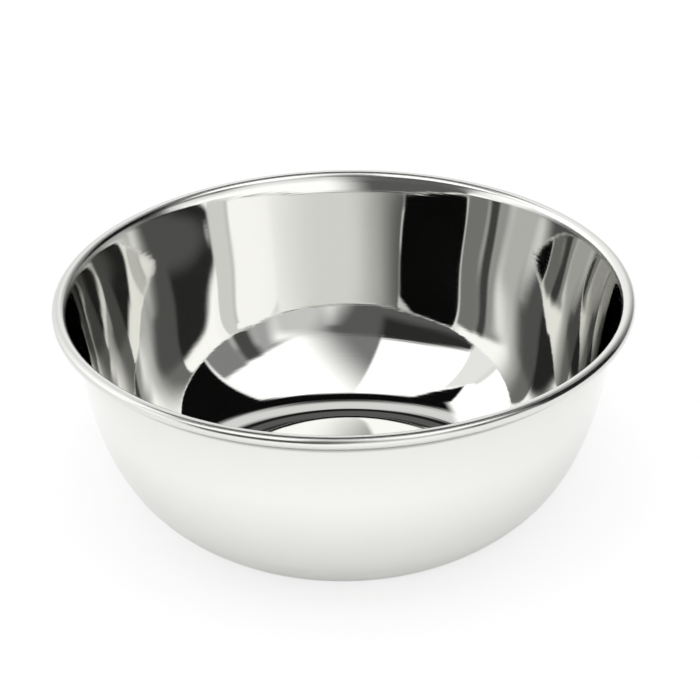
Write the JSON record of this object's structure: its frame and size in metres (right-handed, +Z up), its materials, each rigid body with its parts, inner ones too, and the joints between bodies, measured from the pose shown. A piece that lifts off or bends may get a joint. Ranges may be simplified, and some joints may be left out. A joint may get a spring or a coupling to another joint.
{
  "type": "bowl",
  "caption": "Small round steel bowl with steep sides, a tapered lower wall, a raised base on a foot ring and a rim rolled outwards over a wire hoop.",
  "frame": {"origin": "centre of the foot ring, level with the table that the bowl stands on", "axes": "+Z up along the bowl's axis of revolution, towards the open rim; X and Y are any two directions across it"},
  "size_m": [0.11, 0.11, 0.045],
  "materials": {
    "polished_steel": "mirror polished inside and out, with faint circular polishing lines",
    "drawn_wire": "plain drawn wire, hidden inside the rolled rim"
  },
  "bodies": {
    "root": {"bowl_shell": "polished_steel", "rim_wire": "drawn_wire"}
  },
  "joints": []
}
